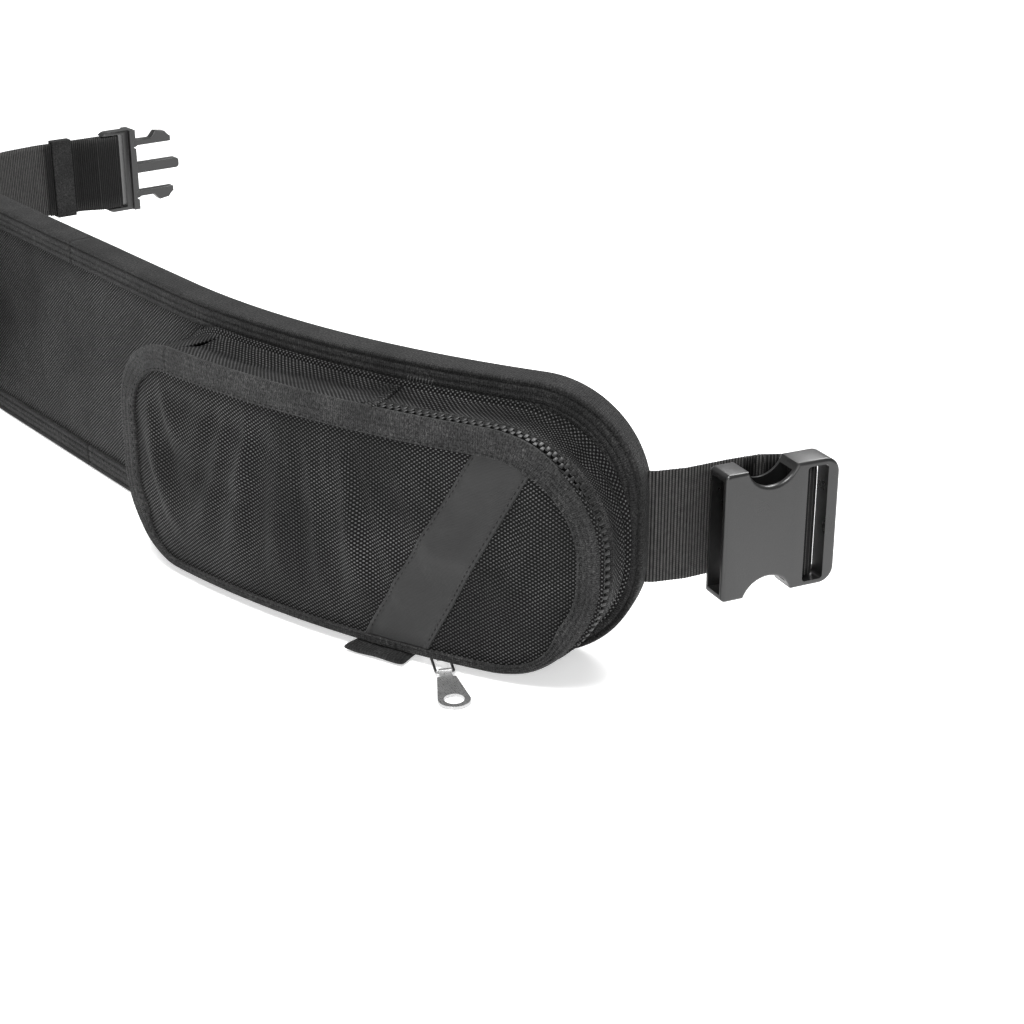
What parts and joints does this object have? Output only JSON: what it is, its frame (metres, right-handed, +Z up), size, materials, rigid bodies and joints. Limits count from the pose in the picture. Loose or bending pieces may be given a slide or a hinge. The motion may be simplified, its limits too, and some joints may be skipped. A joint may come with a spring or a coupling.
{
  "type": "dive weight belt",
  "caption": "Padded waist belt with two zipped weight pouches, standing on its lower edge in an open curve, with webbing ends and a side-release buckle in two halves.",
  "frame": {"origin": "middle of the back section's lower edge, on the surface that the belt stands on", "axes": "+Z up, +X along the belt to the end with the buckle's socket, -Y out of the outer face"},
  "size_m": [0.7462, 0.2846, 0.121],
  "materials": {
    "cover_nylon": "black ballistic weave with a low sheen",
    "pouch_mesh": "fine black mesh",
    "foam": "closed-cell foam",
    "lining": "black spacer mesh",
    "webbing": "ribbed polyester webbing",
    "edge_tape": "ribbed grosgrain tape",
    "zip_tape": "woven tape",
    "zip_teeth": "moulded plastic",
    "label": "smooth dark grey tape",
    "lead_shot": "lead shot in a cloth bag",
    "zip_metal": "satin plated zinc",
    "bail_wire": "dark plated wire",
    "elastic": "knitted elastic",
    "buckle": "satin black plastic"
  },
  "bodies": {
    "back": {"back_cover": "cover_nylon", "back_foam": "foam", "back_lining": "lining", "back_webbing": "webbing", "back_binding": "edge_tape"},
    "right_wing": {"right_wing_cover": "cover_nylon", "right_wing_foam": "foam", "right_wing_lining": "lining", "right_wing_webbing": "webbing", "right_wing_binding": "edge_tape", "right_pouch_gusset": "pouch_mesh", "right_pouch_front": "cover_nylon", "right_front_tape": "edge_tape", "right_zip_tape": "zip_tape", "right_zip_chain": "zip_teeth", "right_zip_garage": "edge_tape", "right_label_strip": "label", "right_shot_bag": "lead_shot"},
    "right_slider": {"right_zip_slider": "zip_metal"},
    "right_bail": {"right_zip_bail": "bail_wire"},
    "right_pull": {"right_zip_pull": "zip_metal"},
    "left_wing": {"left_wing_cover": "cover_nylon", "left_wing_foam": "foam", "left_wing_lining": "lining", "left_wing_webbing": "webbing", "left_wing_binding": "edge_tape", "left_pouch_gusset": "pouch_mesh", "left_pouch_front": "cover_nylon", "left_front_tape": "edge_tape", "left_zip_tape": "zip_tape", "left_zip_chain": "zip_teeth", "left_zip_garage": "edge_tape", "left_label_strip": "label", "left_shot_bag": "lead_shot"},
    "left_slider": {"left_zip_slider": "zip_metal"},
    "left_bail": {"left_zip_bail": "bail_wire"},
    "left_pull": {"left_zip_pull": "zip_metal"},
    "right_strap": {"right_strap": "webbing"},
    "left_strap": {"left_strap": "webbing", "strap_keeper": "elastic"},
    "socket": {"socket_housing": "buckle"},
    "plug": {"plug_body": "buckle"},
    "upper_prong": {"upper_prong": "buckle"},
    "lower_prong": {"lower_prong": "buckle"}
  },
  "joints": [
    {"name": "right_wing_wrap", "type": "hinge", "parent": "back", "child": "right_wing", "pos_m": [0.098, 0.0065, 0.0605], "axis": [0, 0, 1], "range_deg": [0, 45]},
    {"name": "right_strap_swing", "type": "hinge", "parent": "right_wing", "child": "right_strap", "pos_m": [0.34294, 0.07847, 0.0605], "axis": [0, 0, 1], "range_deg": [-25, 25]},
    {"name": "right_slider_travel", "type": "hinge", "parent": "right_wing", "child": "right_slider", "pos_m": [0.098, 0.4365, 0.005], "axis": [0, 0, 1], "range_deg": [0, 1.94]},
    {"name": "right_bail_swing", "type": "hinge", "parent": "right_slider", "child": "right_bail", "pos_m": [0.28998, 0.00903, 0.0015], "axis": [-0.454, -0.891, 0], "range_deg": [-75, 3]},
    {"name": "right_pull_swing", "type": "hinge", "parent": "right_bail", "child": "right_pull", "pos_m": [0.30246, 0.00268, 0.0015], "axis": [-0.454, -0.891, 0], "range_deg": [-60, 80]},
    {"name": "left_wing_wrap", "type": "hinge", "parent": "back", "child": "left_wing", "pos_m": [-0.098, 0.0065, 0.0605], "axis": [0, 0, -1], "range_deg": [0, 45]},
    {"name": "left_strap_swing", "type": "hinge", "parent": "left_wing", "child": "left_strap", "pos_m": [-0.34294, 0.07847, 0.0605], "axis": [0, 0, -1], "range_deg": [-25, 25]},
    {"name": "left_slider_travel", "type": "hinge", "parent": "left_wing", "child": "left_slider", "pos_m": [-0.098, 0.4365, 0.005], "axis": [0, 0, -1], "range_deg": [0, 1.94]},
    {"name": "left_bail_swing", "type": "hinge", "parent": "left_slider", "child": "left_bail", "pos_m": [-0.28998, 0.00903, 0.0015], "axis": [-0.454, 0.891, 0], "range_deg": [-75, 3]},
    {"name": "left_pull_swing", "type": "hinge", "parent": "left_bail", "child": "left_pull", "pos_m": [-0.30246, 0.00268, 0.0015], "axis": [-0.454, 0.891, 0], "range_deg": [-60, 80]},
    {"name": "socket_swing", "type": "hinge", "parent": "right_strap", "child": "socket", "pos_m": [0.37423, 0.13562, 0.0605], "axis": [0, 0, 1], "range_deg": [-5, 50]},
    {"name": "plug_swing", "type": "hinge", "parent": "left_strap", "child": "plug", "pos_m": [-0.35604, 0.19597, 0.0605], "axis": [0, 0, 1], "range_deg": [-9, 9]},
    {"name": "upper_prong_squeeze", "type": "hinge", "parent": "plug", "child": "upper_prong", "pos_m": [-0.35604, 0.21167, 0.0785], "axis": [-1, 0, 0], "range_deg": [0, 8], "stiffness_Nm_per_rad": 0.6},
    {"name": "lower_prong_squeeze", "type": "hinge", "parent": "plug", "child": "lower_prong", "pos_m": [-0.35604, 0.21167, 0.0425], "axis": [1, 0, 0], "range_deg": [0, 8], "stiffness_Nm_per_rad": 0.6}
  ]
}
